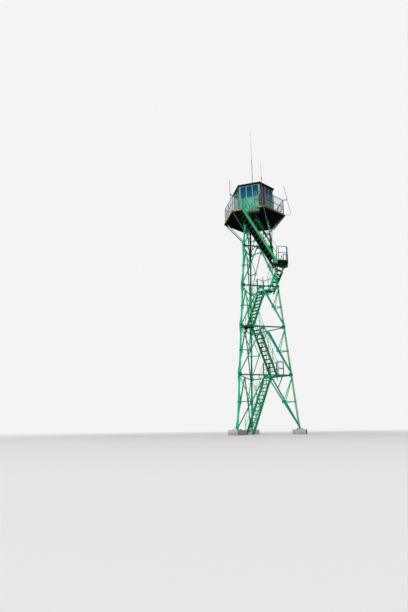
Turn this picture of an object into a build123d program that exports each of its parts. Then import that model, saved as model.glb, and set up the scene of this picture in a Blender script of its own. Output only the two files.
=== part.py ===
from build123d import *
import os
from math import atan, cos, radians, sin, sqrt, tan

# Fire lookout tower: a three-legged steel lattice with a six-sided platform, railing, cabin and
# outside stairs.  Millimetres, +Z up, ground at Z = 0, tower axis on Z, front face square to -Y.
os.makedirs("parts", exist_ok=True)

# Main heights and radii
leg_foot_radius = 2370.0
leg_top_radius = 1020.0
platform_underside = 14550.0
deck_top = 14650.0
platform_radius = 2200.0
cabin_radius = 1420.0
roof_radius = 1540.0
sill_height = 15770.0
window_head = 16665.0
roof_underside = 16750.0
rail_height = 1130.0

# Footings and legs
footing_side = 800.0
footing_height = 300.0
plate_side = 400.0
plate_thickness = 20.0
leg_flange = 130.0
leg_thickness = 12.0
head_frame_depth = 100.0
head_frame_width = 80.0
leg_angles = {"right": -30.0, "left": -150.0, "rear": 90.0}

# Lattice bars, all in one layer on the outer side of each inclined face
bar_width = 70.0
bar_thickness = 7.0
light_bar_width = 50.0
light_bar_thickness = 5.0
gusset_thickness = 8.0
bar_clearance = 10.0
ring_levels = [3595.0, 6715.0, 9497.0, 12350.0]
top_node_level = 14440.0
face_angles = {"front": -90.0, "right": 30.0, "left": 150.0}

# Platform
beam_depth = 80.0
beam_width = 60.0
deck_thickness = 20.0
edge_thickness = 10.0
edge_height = 120.0
rail_bar = 32.0
post_bar = 32.0
notch_left = -1315.0
notch_right = -100.0
notch_inner = 920.0
notch_outer = 1700.0

# Stairs
stringer_depth = 170.0
stringer_thickness = 12.0
stair_width = 540.0
head_flight_width = 736.0
tread_overlap = 20.0
tread_thickness = 25.0
handrail_height = 950.0
landing_plate = 8.0
landing_frame = 50.0

slope = (leg_foot_radius - leg_top_radius) / platform_underside
face_lean = atan(slope / 2)
far = 20000.0


def leg_radius(z):
    return leg_foot_radius - slope * z


def polar(radius, angle, z=0.0):
    return Vector(radius * cos(radians(angle)), radius * sin(radians(angle)), z)


def corner_section(radius, angle, turn, length, thickness):
    """Angle-shaped outline with its outer corner at the radius; the sides run at 180 - turn."""
    corner = polar(radius, angle)
    side_a = polar(1.0, angle + 180.0 - turn)
    side_b = polar(1.0, angle + 180.0 + turn)
    in_a = polar(1.0, angle + 270.0 - turn)
    in_b = polar(1.0, angle + 90.0 + turn)
    inner = corner + polar(thickness / sin(radians(turn)), angle + 180.0)
    points = [corner, corner + side_a * length, corner + side_a * length + in_a * thickness,
              inner, corner + side_b * length + in_b * thickness, corner + side_b * length]
    return [(point.X, point.Y) for point in points]


def prism(points, bottom, top):
    with BuildPart() as solid:
        with BuildSketch(Plane.XY.offset(bottom)):
            Polygon(*points, align=None)
        extrude(amount=top - bottom)
    return solid.part


def beam(start, end, width, depth, up=(0, 0, 1)):
    """Straight rectangular bar between two points, its depth measured towards up."""
    start = Vector(*start)
    end = Vector(*end)
    along = end - start
    side = Vector(*up).cross(along)
    with BuildPart() as solid:
        with BuildSketch(Plane(origin=start, x_dir=side, z_dir=along)):
            Rectangle(width, depth)
        extrude(amount=along.length)
    return solid.part


def tube(start, end, radius):
    start = Vector(*start)
    end = Vector(*end)
    with BuildPart() as solid:
        with BuildSketch(Plane(origin=start, z_dir=end - start)):
            Circle(radius)
        extrude(amount=(end - start).length)
    return solid.part


def face_plane(face, offset=0.0):
    """Inclined plane through two legs: x along the face, y up the slope."""
    angle = face_angles[face]
    outward = polar(cos(face_lean), angle, sin(face_lean))
    origin = polar(leg_radius(0.0) / 2, angle)
    along = polar(1.0, angle + 90.0)
    return Plane(origin=origin, x_dir=along, z_dir=outward).offset(offset)


def on_face(z):
    return z / cos(face_lean)


def half_width(z):
    return leg_radius(z) * sqrt(3.0) / 2


def outside_of(face, offset=0.0):
    with BuildPart() as space:
        with BuildSketch(face_plane(face, offset)):
            Rectangle(far, 2 * far)
        extrude(amount=far)
    return space.part


def strip_points(start, end, low, high):
    """Corners of a strip beside a line in a plane, from low to high across it."""
    start = Vector(*start)
    end = Vector(*end)
    along = (end - start).normalized()
    across = Vector(-along.Y, along.X)
    corners = [start + across * low, end + across * low, end + across * high, start + across * high]
    return [(corner.X, corner.Y) for corner in corners]


def face_bar(face, start, end, width, thickness, clear):
    """Angle bar on a face: flat leg on the gussets, fin outwards, kept clear of other bars."""
    half = width / 2
    with BuildPart() as bar:
        for low, high, height in ((-half, half, thickness), (half - thickness, half, width)):
            with BuildSketch(face_plane(face, gusset_thickness)):
                Polygon(*strip_points(start, end, low, high), align=None)
                Polygon(*face_outline, align=None, mode=Mode.INTERSECT)
                for other_start, other_end, other_width in clear:
                    reach = other_width / 2 + bar_clearance
                    Polygon(*strip_points(other_start, other_end, -reach, reach), align=None,
                            mode=Mode.SUBTRACT)
            extrude(amount=height)
    return bar.part


# Outline of one face between the outer corners of its legs
foot_level = footing_height + plate_thickness
leg_top = platform_underside - head_frame_depth
face_outline = [(-half_width(foot_level), on_face(foot_level)), (half_width(foot_level), on_face(foot_level)),
                (half_width(leg_top), on_face(leg_top)), (-half_width(leg_top), on_face(leg_top))]

# Concrete footings and the steel base plates on them
plate_inset = 50.0
feet = [Location(polar(leg_radius(foot_level) - plate_inset, angle), (0, 0, angle))
        for angle in leg_angles.values()]
standing = (Align.CENTER, Align.CENTER, Align.MIN)
with BuildPart() as footings:
    with Locations(*feet):
        Box(footing_side, footing_side, footing_height, align=standing)

with BuildPart() as base_plates:
    with Locations(*[Pos(0, 0, footing_height) * foot for foot in feet]):
        Box(plate_side, plate_side, plate_thickness, align=standing)


def leg(angle):
    with BuildPart() as solid:
        for level in (foot_level, leg_top):
            with BuildSketch(Plane.XY.offset(level)):
                Polygon(*corner_section(leg_radius(level), angle, 30.0, leg_flange, leg_thickness),
                        align=None)
        loft(ruled=True)
    return solid.part


with BuildPart() as leg_left:
    add(leg(leg_angles["left"]))

with BuildPart() as leg_right:
    add(leg(leg_angles["right"]))

with BuildPart() as leg_rear:
    add(leg(leg_angles["rear"]))

# Lattice of the three faces: level bars, diagonals to the middle of the bar above, short bars
levels = [foot_level] + ring_levels + [top_node_level]
horizontals = []
diagonals = {"front": [], "right": [], "left": []}
gussets = []
apex_gusset = (280.0, 180.0)
leg_gusset = (230.0, 260.0)
head_gusset = (320.0, 130.0)
joint_gusset = (190.0, 190.0)
end_gusset = (120.0, 110.0)
end_offset = 30.0
apex_offset = 62.0


def gusset(face, x, z, size):
    """Flat plate on a face that ties the bars meeting at a joint."""
    with BuildPart() as plate:
        with BuildSketch(face_plane(face)):
            with Locations((x, on_face(z))):
                Rectangle(*size)
            Polygon(*face_outline, align=None, mode=Mode.INTERSECT)
        extrude(amount=gusset_thickness)
    return plate.part


for face in face_angles:
    rings = {}
    for level in ring_levels:
        row = on_face(level)
        rings[level] = ((-half_width(level), row), (half_width(level), row), bar_width)
        horizontals.append(face_bar(face, rings[level][0], rings[level][1], bar_width, bar_thickness, []))
        gussets.append(gusset(face, 0.0, level - apex_gusset[1] / 2, apex_gusset))
        for side in (-1.0, 1.0):
            gussets.append(gusset(face, side * (half_width(level) - leg_gusset[0] / 2),
                                  level + end_offset, leg_gusset))
    gussets.append(gusset(face, 0.0, top_node_level - head_gusset[1] / 2, head_gusset))
    for lower, upper in zip(levels[:-1], levels[1:]):
        middle = (lower + upper) / 2
        near = [rings[level] for level in (lower, upper) if level in rings]
        for side in (-1.0, 1.0):
            foot = (side * (half_width(lower) - end_offset), on_face(lower + end_offset))
            head = (side * apex_offset, on_face(upper - end_offset))
            main = (foot, head, bar_width)
            ends = (foot, head) if side < 0 else (head, foot)
            diagonals[face].append(face_bar(face, *ends, bar_width, bar_thickness, near))
            centre = ((foot[0] + head[0]) / 2, (foot[1] + head[1]) / 2)
            node = (side * half_width(upper), on_face(upper))
            edge = (side * half_width(middle), centre[1])
            gussets.append(gusset(face, centre[0], middle, joint_gusset))
            gussets.append(gusset(face, side * (half_width(middle) - end_gusset[0] / 2), middle, end_gusset))
            level_bar = (edge, centre, light_bar_width)
            diagonals[face].append(face_bar(face, edge, centre, light_bar_width, light_bar_thickness,
                                            near + [main]))
            if upper != top_node_level:
                diagonals[face].append(face_bar(face, node, centre, light_bar_width, light_bar_thickness,
                                                near + [main, level_bar]))

with BuildPart() as horizontal_bars:
    add(horizontals)

with BuildPart() as front_diagonals:
    add(diagonals["front"])

with BuildPart() as right_diagonals:
    add(diagonals["right"])

with BuildPart() as left_diagonals:
    add(diagonals["left"])

with BuildPart() as gusset_plates:
    add(gussets)

# Three-cornered frame on the leg tops
frame_outer = leg_radius(leg_top) + 2 * bar_clearance
frame_inner = frame_outer - 2 * head_frame_width
with BuildPart() as head_frame:
    with BuildSketch(Plane.XY.offset(leg_top)):
        Polygon(*[tuple(polar(frame_outer, angle))[:2] for angle in leg_angles.values()], align=None)
        Polygon(*[tuple(polar(frame_inner, angle))[:2] for angle in leg_angles.values()], align=None,
                mode=Mode.SUBTRACT)
    extrude(amount=head_frame_depth)


def hexagon(radius):
    return [tuple(polar(radius, 30.0 + 60.0 * step))[:2] for step in range(6)]


corner_angles = [30.0 + 60.0 * step for step in range(6)]
root3 = sqrt(3.0)
edge_inner_radius = platform_radius - 2 * edge_thickness / root3

# Platform beams: a ring under the cabin wall and a spoke to each corner
spoke_mid = platform_underside + beam_depth / 2
spokes = [beam((0, 0, spoke_mid), polar(platform_radius, angle, spoke_mid), beam_width, beam_depth)
          for angle in corner_angles]
with BuildPart() as platform_beams:
    with BuildSketch(Plane.XY.offset(platform_underside)):
        Polygon(*hexagon(cabin_radius), align=None)
        Polygon(*hexagon(cabin_radius - 2 * beam_width / root3), align=None, mode=Mode.SUBTRACT)
    extrude(amount=beam_depth)
    add(spokes)
    add(prism(hexagon(edge_inner_radius), 0.0, far), mode=Mode.INTERSECT)

# Deck plate with the stair notch, kept whole under the cabin
notch_points = [(notch_left, -notch_inner), (notch_right, -notch_inner), (notch_right, -notch_outer),
                (notch_left, -notch_outer)]
with BuildPart() as platform_deck:
    with BuildSketch(Plane.XY.offset(deck_top - deck_thickness)):
        Polygon(*hexagon(edge_inner_radius), align=None)
        Polygon(*notch_points, align=None, mode=Mode.SUBTRACT)
        Polygon(*hexagon(cabin_radius), align=None)
    extrude(amount=deck_thickness)

# Edge band round the deck, open where the stairs pass
with BuildPart() as platform_edge:
    with BuildSketch(Plane.XY.offset(platform_underside)):
        Polygon(*hexagon(platform_radius), align=None)
        Polygon(*hexagon(edge_inner_radius), align=None, mode=Mode.SUBTRACT)
        Polygon(*notch_points, align=None, mode=Mode.SUBTRACT)
    extrude(amount=edge_height)


middle_rail_share = 0.52


def rail_panel(start, end, base, height, posts):
    """Flat railing panel: posts, a top rail and a middle rail in one vertical plane."""
    start = Vector(*start)
    end = Vector(*end)
    run = (end - start).length
    with BuildPart() as solid:
        origin = Vector(start.X, start.Y, base) + Vector(start.Y - end.Y, end.X - start.X).normalized() * (
            -post_bar / 2)
        facing = Plane(origin=origin, x_dir=end - start, z_dir=(start.Y - end.Y, end.X - start.X, 0))
        with BuildSketch(facing):
            for level in (height - rail_bar / 2, height * middle_rail_share):
                with Locations((run / 2, side_sign(facing) * level)):
                    Rectangle(run, rail_bar)
            for position in posts:
                with Locations((position * run, side_sign(facing) * height / 2)):
                    Rectangle(post_bar, height)
        extrude(amount=post_bar)
    return solid.part


def side_sign(plane):
    return 1.0 if plane.y_dir.Z > 0 else -1.0


rail_radius = platform_radius - 80.0
corner_gap = 30.0
stair_side = 210.0
panel_before_stair = 0.25
panel_past_stair = 0.70
panels = []
for index, angle in enumerate(corner_angles):
    first = polar(rail_radius, angle)
    second = polar(rail_radius, angle + 60.0)
    along = (second - first).normalized()
    first = first + along * corner_gap
    second = second - along * corner_gap
    run = (second - first).length
    inset = post_bar / 2 / run
    if angle == stair_side:
        head_side = first + along * (run * panel_before_stair)
        foot_side = first + along * (run * panel_past_stair)
        short = inset / panel_before_stair
        panels.append(rail_panel(first, head_side, deck_top, rail_height, [short, 1 - short]))
        short = inset / (1 - panel_past_stair)
        panels.append(rail_panel(foot_side, second, deck_top, rail_height, [short, 1 - short]))
    else:
        panels.append(rail_panel(first, second, deck_top, rail_height, [inset, 0.5, 1 - inset]))

with BuildPart() as platform_railing:
    add(panels)

# Guard on the deck beside the stair notch, from the cabin wall to the railing
guard_gap = 40.0
guard_x = notch_right + guard_gap
guard_y = -notch_outer - guard_gap
guard_inner = -cabin_radius - (guard_x + rail_bar / 2) / root3
guard_left = -480.0
guards = [rail_panel((guard_x, guard_inner), (guard_x, guard_y + rail_bar), deck_top, rail_height,
                     [0.07, 0.93]),
          rail_panel((guard_x - rail_bar, guard_y), (guard_left, guard_y), deck_top, rail_height,
                     [0.05, 0.95])]
with BuildPart() as stair_head_guard:
    add(guards)

# Cabin: corner posts, lower panels, window frames, glass, head band, roof
wall_thickness = 40.0
corner_post_length = 60.0
post_sections = [corner_section(cabin_radius, angle, 60.0, corner_post_length, wall_thickness)
                 for angle in corner_angles]
wall_inradius = cabin_radius * root3 / 2
wall_half = cabin_radius / 2 - corner_post_length
door_wall = 300.0
door_left = -wall_half
door_right = -150.0

cabin_posts = [prism(points, deck_top, window_head) for points in post_sections]
with BuildPart() as cabin_corner_posts:
    add(cabin_posts)


def wall_plane(angle, depth=0.0):
    origin = polar(wall_inradius - depth, angle)
    return Plane(origin=origin, x_dir=polar(1.0, angle + 90.0), z_dir=polar(1.0, angle))


def wall_box(angle, left, right, bottom, top, depth, thickness):
    """Upright board in a cabin wall: depth is measured inwards from the outer face."""
    with BuildSketch(wall_plane(angle, depth)) as outline:
        with Locations(((left + right) / 2, (bottom + top) / 2)):
            Rectangle(right - left, top - bottom)
    return extrude(outline.sketch, amount=-thickness)


wall_angles = [60.0 * step for step in range(6)]
full_height_walls = (120.0, 180.0)
wall_boards = []
window_frames = []
panes = []
mullion = 45.0
frame_bar = 25.0
pane_depth = 16.0
pane_thickness = 6.0
for angle in wall_angles:
    left_end = door_right + mullion if angle == door_wall else -wall_half
    glass_foot = sill_height
    if angle in full_height_walls:
        glass_foot = deck_top
    else:
        wall_boards.append(wall_box(angle, left_end, wall_half, deck_top, sill_height, 0.0, wall_thickness))
    bays = 2 if angle == door_wall else 3
    with BuildPart() as frame:
        with BuildSketch(wall_plane(angle)):
            with Locations(((left_end + wall_half) / 2, (glass_foot + window_head) / 2)):
                Rectangle(wall_half - left_end, window_head - glass_foot)
            bay = (wall_half - left_end - mullion * (bays - 1) - 2 * frame_bar) / bays
            for step in range(bays):
                middle = left_end + frame_bar + bay / 2 + step * (bay + mullion)
                with Locations((middle, (glass_foot + window_head) / 2)):
                    Rectangle(bay, window_head - glass_foot - 2 * frame_bar, mode=Mode.SUBTRACT)
        extrude(amount=-wall_thickness)
    window_frames.append(frame.part)
    for step in range(bays):
        middle = left_end + frame_bar + bay / 2 + step * (bay + mullion)
        panes.append(wall_box(angle, middle - bay / 2, middle + bay / 2, glass_foot + frame_bar,
                              window_head - frame_bar, pane_depth, pane_thickness))

door_post = wall_box(door_wall, door_right, door_right + mullion, deck_top, window_head, 0.0, wall_thickness)
with BuildPart() as cabin_door_post:
    add(door_post)

with BuildPart() as cabin_wall_panels:
    add(wall_boards)

with BuildPart() as cabin_window_frames:
    add(window_frames)

# Door leaf beside the front corner, hung on the corner post, with its own pane and handle
leaf_gap = 4.0
leaf_setback = 5.0
leaf_thickness = 30.0
leaf_border = 55.0
leaf_glass_foot = 15470.0
leaf_left = door_left
leaf_right = door_right - leaf_gap
with BuildPart() as cabin_door:
    with BuildSketch(wall_plane(door_wall, leaf_setback)):
        with Locations(((leaf_left + leaf_right) / 2, (deck_top + window_head) / 2)):
            Rectangle(leaf_right - leaf_left, window_head - deck_top - 2 * leaf_gap)
        with Locations(((leaf_left + leaf_right) / 2, (leaf_glass_foot + window_head - leaf_border) / 2)):
            Rectangle(leaf_right - leaf_left - 2 * leaf_border, window_head - leaf_border - leaf_glass_foot,
                      mode=Mode.SUBTRACT)
    extrude(amount=-leaf_thickness)
panes.append(wall_box(door_wall, leaf_left + leaf_border, leaf_right - leaf_border, leaf_glass_foot,
                      window_head - leaf_border, leaf_setback + pane_depth, pane_thickness))

with BuildPart() as cabin_glass:
    add(panes)

# Lever handle: a back plate, a neck and a bar in front of the leaf
handle_x = leaf_right - 28.0
handle_level = 15640.0
handle_plate = 6.0
handle_reach = 24.0
handle_bar = 16.0
with BuildPart() as door_handle:
    add(wall_box(door_wall, handle_x - 14.0, handle_x + 14.0, handle_level - 80.0, handle_level + 60.0,
                 leaf_setback, -handle_plate))
    add(wall_box(door_wall, handle_x - handle_bar / 2, handle_x + handle_bar / 2, handle_level,
                 handle_level + handle_bar, leaf_setback - handle_plate, -handle_reach))
    add(wall_box(door_wall, handle_x - 90.0, handle_x + handle_bar / 2, handle_level,
                 handle_level + handle_bar, leaf_setback - handle_plate - handle_reach, -handle_bar))

with BuildPart() as cabin_head_band:
    with BuildSketch(Plane.XY.offset(window_head)):
        Polygon(*hexagon(cabin_radius), align=None)
        Polygon(*hexagon(cabin_radius - 2 * wall_thickness / root3), align=None, mode=Mode.SUBTRACT)
    extrude(amount=roof_underside - window_head)

# Shallow hipped roof: a hexagonal slab whose top is cut to a slope on each side
roof_edge = 45.0
roof_rise = 45.0
roof_flat = 160.0
roof_inradius = roof_radius * root3 / 2
roof_top = roof_underside + roof_edge + roof_rise
slope_profile = [(roof_flat, roof_top), (roof_inradius + 1.0, roof_underside + roof_edge),
                 (roof_inradius + 1.0, roof_top + 1.0), (roof_flat, roof_top + 1.0)]
with BuildPart() as cabin_roof:
    with BuildSketch(Plane.XY.offset(roof_underside)):
        Polygon(*hexagon(roof_radius), align=None)
    extrude(amount=roof_edge + roof_rise)
    for angle in wall_angles:
        across = polar(1.0, angle)
        with BuildSketch(Plane(origin=(0, 0, 0), x_dir=across, z_dir=across.cross(Vector(0, 0, 1)))):
            Polygon(*slope_profile, align=None)
        extrude(amount=roof_radius, both=True, mode=Mode.SUBTRACT)

# Mast and aerials
mast_joint = 19440.0
mast_middle = 20740.0
mast_top = 21830.0
with BuildPart() as mast_pole:
    with BuildSketch(Plane.XY.offset(roof_top)):
        Rectangle(220, 220)
    extrude(amount=12)
    with BuildSketch(Plane.XY.offset(roof_top + 12)):
        Circle(30)
    extrude(amount=mast_joint - roof_top - 12)

with BuildPart() as mast_antenna:
    with BuildSketch(Plane.XY.offset(mast_joint)):
        Circle(38)
    extrude(amount=160)
    with BuildSketch(Plane.XY.offset(mast_joint + 160)):
        Circle(24)
    extrude(amount=mast_middle - mast_joint - 160)
    with BuildSketch(Plane.XY.offset(mast_middle)):
        Circle(30)
    extrude(amount=70)
    with BuildSketch(Plane.XY.offset(mast_middle + 70)):
        Circle(14)
    extrude(amount=mast_top - mast_middle - 70)


def upright(point, bottom, top, radius):
    return tube((point.X, point.Y, bottom), (point.X, point.Y, top), radius)


def arm(inner, outer, level, width, depth):
    return beam((inner.X, inner.Y, level), (outer.X, outer.Y, level), width, depth)


edge_mid = platform_underside + edge_height / 2
clamp_thickness = 12.0
clamp_level = deck_top + rail_height + clamp_thickness / 2
clamp_inner = rail_radius - 45.0
clamp_width = 110.0
arm_bar = 30.0

# Left whip: a pole outside the left corner on a foot arm and a plate across the two top rails
left_whip_radius = 2350.0
left_whip_top = 16850.0
left_foot = polar(left_whip_radius, 210.0)
with BuildPart() as left_whip:
    add(upright(left_foot, platform_underside, left_whip_top, 26.0))
    add(arm(polar(platform_radius, 210.0), left_foot, edge_mid, arm_bar, arm_bar))
    add(arm(polar(clamp_inner, 210.0), polar(left_whip_radius + arm_bar, 210.0), clamp_level, clamp_width,
            clamp_thickness))

# Right whip: leans in over the rail from a short stand on a long foot arm
stand_radius = 2560.0
lean_foot = polar(stand_radius, -30.0, 14850.0)
lean_head = polar(platform_radius, -30.0, 16900.0)
foot_arm_level = deck_top - arm_bar
with BuildPart() as right_whip:
    add(tube(lean_foot, lean_head, 24.0))
    add(arm(polar(platform_radius, -30.0), polar(stand_radius + arm_bar / 2, -30.0), foot_arm_level, arm_bar,
            arm_bar))
    add(beam(polar(stand_radius, -30.0, foot_arm_level - arm_bar / 2), polar(stand_radius, -30.0, lean_foot.Z),
             arm_bar, arm_bar, up=(1, 0, 0)))
    add(arm(polar(clamp_inner, -30.0), polar(2430.0, -30.0), clamp_level, clamp_width, clamp_thickness))

# Near whip: a pole beside the front corner, with a knob and a thin rod above it
knob_level = 16600.0
knob_height = 120.0
near_whip_top = 17900.0
near_out = polar(1.0, -120.0)
near_foot = polar(platform_radius, -90.0) + polar(90.0, 150.0) + near_out * 45.0
rail_setback = (platform_radius - rail_radius) * root3 / 2
with BuildPart() as near_whip:
    add(upright(near_foot, platform_underside, knob_level, 17.0))
    add(upright(near_foot, knob_level, knob_level + knob_height, 30.0))
    add(upright(near_foot, knob_level + knob_height, near_whip_top, 9.0))
    add(arm(near_foot - near_out * 45.0, near_foot, edge_mid, arm_bar, arm_bar))
    add(arm(near_foot - near_out * (45.0 + rail_setback + rail_bar / 2), near_foot + near_out * arm_bar,
            clamp_level, clamp_width / 2, clamp_thickness))

# Thin wire from the knob to the roof edge
wire_foot = (1045.0, -915.0, roof_underside + 20.0)
with BuildPart() as near_whip_wire:
    add(tube(near_foot + Vector(0, 0, knob_level + knob_height / 2), wire_foot, 3.0))
    add(near_whip.part, mode=Mode.SUBTRACT)
    add(cabin_roof.part, mode=Mode.SUBTRACT)

# Stairs: each flight is two sides with handrails and a row of open treads
e_left = Vector(-root3 / 2, -0.5)
e_side = Vector(0.5, -root3 / 2)


def spot(a, b):
    """Point from the distance towards the left leg and the distance along the right face."""
    return e_left * a + e_side * b


landing_levels = {1: 11050.0, 2: 9600.0, 3: 6800.0, 4: 3700.0}
head_flight_y = -1302.0
head_flight_foot = 925.0
lane = 320.0

# Distances towards the left leg of the landing edges that the flights meet, and of the far edges
edge_1 = -1150.0
edge_2 = -725.0
edge_3 = 600.0
edge_4 = -985.0
far_edge_2 = -1450.0
far_edge_4 = -1650.0
ground_foot = 950.0
flight_2_head = 1170.0
flight_2_foot = 250.0
landing_half = 640.0

# Each flight: head and foot in plan, head and foot level, risers, width, handrail posts a side
flights = {
    1: (Vector(notch_left, head_flight_y), Vector(head_flight_foot, head_flight_y), deck_top,
        landing_levels[1], 14, head_flight_width, 6),
    2: (spot(edge_1, flight_2_head), spot(edge_1, flight_2_foot), landing_levels[1], landing_levels[2], 6,
        stair_width, 3),
    3: (spot(edge_2, -lane), spot(edge_3, -lane), landing_levels[2], landing_levels[3], 11, stair_width, 4),
    4: (spot(edge_3, lane), spot(edge_4, lane), landing_levels[3], landing_levels[4], 12, stair_width, 5),
    5: (spot(edge_4, -lane), spot(ground_foot, -lane), landing_levels[4], 0.0, 15, stair_width, 6),
}
inner_rail_share = 0.44
post_drop = 90.0
handrail_bar_depth = 24.0


def flight_sides(top_point, foot_point, top_z, foot_z, width, posts, rail_starts):
    """Two stringers with posts and rails on their outer faces, between two levels."""
    run = (foot_point - top_point).length
    along = (foot_point - top_point).normalized()
    across = Vector(-along.Y, along.X)
    drop = top_z - foot_z
    depth = stringer_depth * sqrt(run * run + drop * drop) / run
    pieces = []
    for side, share in zip((-1.0, 1.0), rail_starts):
        rail_x = run * share
        rail_z = top_z - drop * share
        origin = top_point + across * (side * (width / 2 - stringer_thickness))
        plane = Plane(origin=origin, x_dir=along, z_dir=Vector(0, 0, 1).cross(along) * -1.0)
        up = side_sign(plane)
        out = side if plane.z_dir.dot(across) > 0 else -side
        ground = [(-far, 0), (far, 0), (far, -up * far), (-far, -up * far)]
        with BuildPart() as flank:
            with BuildSketch(plane):
                Polygon((0, up * top_z), (run, up * foot_z), (run, up * (foot_z - depth)),
                        (0, up * (top_z - depth)), align=None)
                Polygon(*ground, align=None, mode=Mode.SUBTRACT)
            extrude(amount=out * stringer_thickness)
            with BuildSketch(plane.offset(out * stringer_thickness)):
                for lift in (handrail_height, handrail_height / 2):
                    Polygon((rail_x, up * (rail_z + lift)), (run, up * (foot_z + lift)),
                            (run, up * (foot_z + lift - rail_bar)),
                            (rail_x, up * (rail_z + lift - rail_bar)), align=None)
                for step in range(posts):
                    x = rail_x + post_bar / 2 + (run - rail_x - post_bar) * step / (posts - 1)
                    foot = top_z - drop * x / run - post_drop
                    head = foot + post_drop + handrail_height - rail_bar
                    with Locations((x, up * (foot + head) / 2)):
                        Rectangle(post_bar, head - foot)
                Polygon(*ground, align=None, mode=Mode.SUBTRACT)
            extrude(amount=out * handrail_bar_depth)
        pieces.append(flank.part)
    return pieces


def flight_treads(top_point, foot_point, top_z, foot_z, risers, width):
    along = (foot_point - top_point).normalized()
    going = (foot_point - top_point).length / risers
    rise = (top_z - foot_z) / risers
    pieces = []
    for step in range(1, risers):
        nosing = top_point + along * (going * step)
        back = nosing - along * (going + tread_overlap)
        z = top_z - rise * step - tread_thickness / 2
        pieces.append(arm(nosing, back, z, width - 2 * stringer_thickness, tread_thickness))
    return pieces


sides = {}
for number, (head, foot, head_z, foot_z, risers, width, posts) in flights.items():
    starts = (0.0, inner_rail_share) if number == 1 else (0.0, 0.0)
    sides[number] = flight_sides(head, foot, head_z, foot_z, width, posts, starts)
treads = []
for data in flights.values():
    treads.extend(flight_treads(*data[:6]))

with BuildPart() as flight_1_sides:
    add(sides[1])

with BuildPart() as flight_2_sides:
    add(sides[2])

with BuildPart() as flight_3_sides:
    add(sides[3])

with BuildPart() as flight_4_sides:
    add(sides[4])

with BuildPart() as flight_5_sides:
    add(sides[5])

with BuildPart() as stair_treads:
    add(treads)

# Landings: a plate on a frame of upright flats; landing 3 narrows into the left corner
corner_half = 635.0
corner_tip = 1400.0
corner_tip_half = 175.0
landing_outlines = {
    1: [Vector(head_flight_foot, -905), Vector(head_flight_foot, -1830), Vector(1620, -1830),
        Vector(2080, -570), Vector(1840, -290), Vector(1320, -590)],
    2: [spot(edge_2, -landing_half), spot(edge_2, flight_2_foot), spot(far_edge_2, flight_2_foot),
        spot(far_edge_2, -landing_half)],
    3: [spot(edge_3, -corner_half), spot(edge_3, corner_half), spot(corner_tip, corner_tip_half),
        spot(corner_tip, -corner_tip_half)],
    4: [spot(edge_4, -landing_half), spot(edge_4, landing_half), spot(far_edge_4, landing_half),
        spot(far_edge_4, -landing_half)],
}
landing_frame_thickness = 8.0


def landing(number):
    points = [(point.X, point.Y) for point in landing_outlines[number]]
    top = landing_levels[number]
    with BuildPart() as solid:
        with BuildSketch(Plane.XY.offset(top - landing_plate)):
            Polygon(*points, align=None)
        extrude(amount=landing_plate)
        with BuildSketch(Plane.XY.offset(top - landing_plate - landing_frame)):
            Polygon(*points, align=None)
            offset(amount=-landing_frame_thickness, mode=Mode.SUBTRACT)
        extrude(amount=landing_frame)
    return solid.part


with BuildPart() as landing_1:
    add(landing(1))

with BuildPart() as landing_2:
    add(landing(2))

with BuildPart() as landing_3:
    add(landing(3))

with BuildPart() as landing_4:
    add(landing(4))

# Railings on the open edges of the landings, each panel on its own
landing_rail_height = 950.0
landing_panels = []


def landing_rail(number, start, end, posts):
    base = landing_levels[number]
    landing_panels.append(rail_panel(start, end, base, landing_rail_height, posts))


landing_rail(1, (945, -1805), (1575, -1805), [0.04, 0.96])
landing_rail(1, (1612, -1775), (2043, -595), [0.02, 0.5, 0.98])
landing_rail(1, (2035, -550), (1868, -356), [0.1, 0.9])
rail_inset = 25.0
rail_corner = 50.0
side_rail = landing_half - rail_inset
landing_rail(2, spot(edge_2 - 40.0, -side_rail), spot(far_edge_2 + rail_corner, -side_rail), [0.04, 0.96])
landing_rail(2, spot(far_edge_2 + rail_inset, -side_rail), spot(far_edge_2 + rail_inset, flight_2_foot - 15.0),
             [0.03, 0.97])
for sign in (-1.0, 1.0):
    landing_rail(4, spot(edge_4 - 45.0, side_rail * sign), spot(far_edge_4 + rail_corner, side_rail * sign),
                 [0.04, 0.96])
landing_rail(4, spot(far_edge_4 + rail_inset, 10.0 - landing_half),
             spot(far_edge_4 + rail_inset, landing_half - 10.0), [0.02, 0.5, 0.98])
with BuildPart() as landing_railings:
    add(landing_panels)


def slab(bottom, top):
    with BuildPart() as space:
        with BuildSketch(Plane.XY.offset(bottom)):
            Rectangle(2 * far, 2 * far)
        extrude(amount=top - bottom)
    return space.part


# Brackets under the landings
bracket_bar = 60.0
strut_bar = 50.0
heel_seat = 15.0
bracket_angle = leg_angles["right"]
seat_1 = landing_levels[1] - landing_plate - landing_frame
arm_level = seat_1 - bracket_bar / 2
arm_reach = 2150.0
strut_reach = 2080.0
strut_foot = 10150.0
cross_reach = 1800.0
cross = polar(600.0, bracket_angle + 90.0)
cross_centre = polar(cross_reach, bracket_angle, arm_level)
arm_start = polar(leg_radius(arm_level) - heel_seat, bracket_angle, arm_level)
strut_start = polar(leg_radius(strut_foot) - heel_seat, bracket_angle, strut_foot)
with BuildPart() as leg_bracket:
    add(beam(arm_start, polar(arm_reach, bracket_angle, arm_level), bracket_bar, bracket_bar))
    add(beam(cross_centre - cross, cross_centre + cross, bracket_bar, bracket_bar))
    add(beam(strut_start, polar(strut_reach, bracket_angle, arm_level), strut_bar, strut_bar))
    for obstacle in (leg_right, gusset_plates, front_diagonals, right_diagonals):
        add(obstacle.part, mode=Mode.SUBTRACT)

face_front = gusset_thickness + bar_thickness
outside_right = outside_of("right", face_front)
brackets = [max(leg_bracket.part.solids(), key=lambda solid: solid.volume)]


strut_overrun = 10.0
strut_inset = 40.0
apex_reach = 25.0


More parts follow.
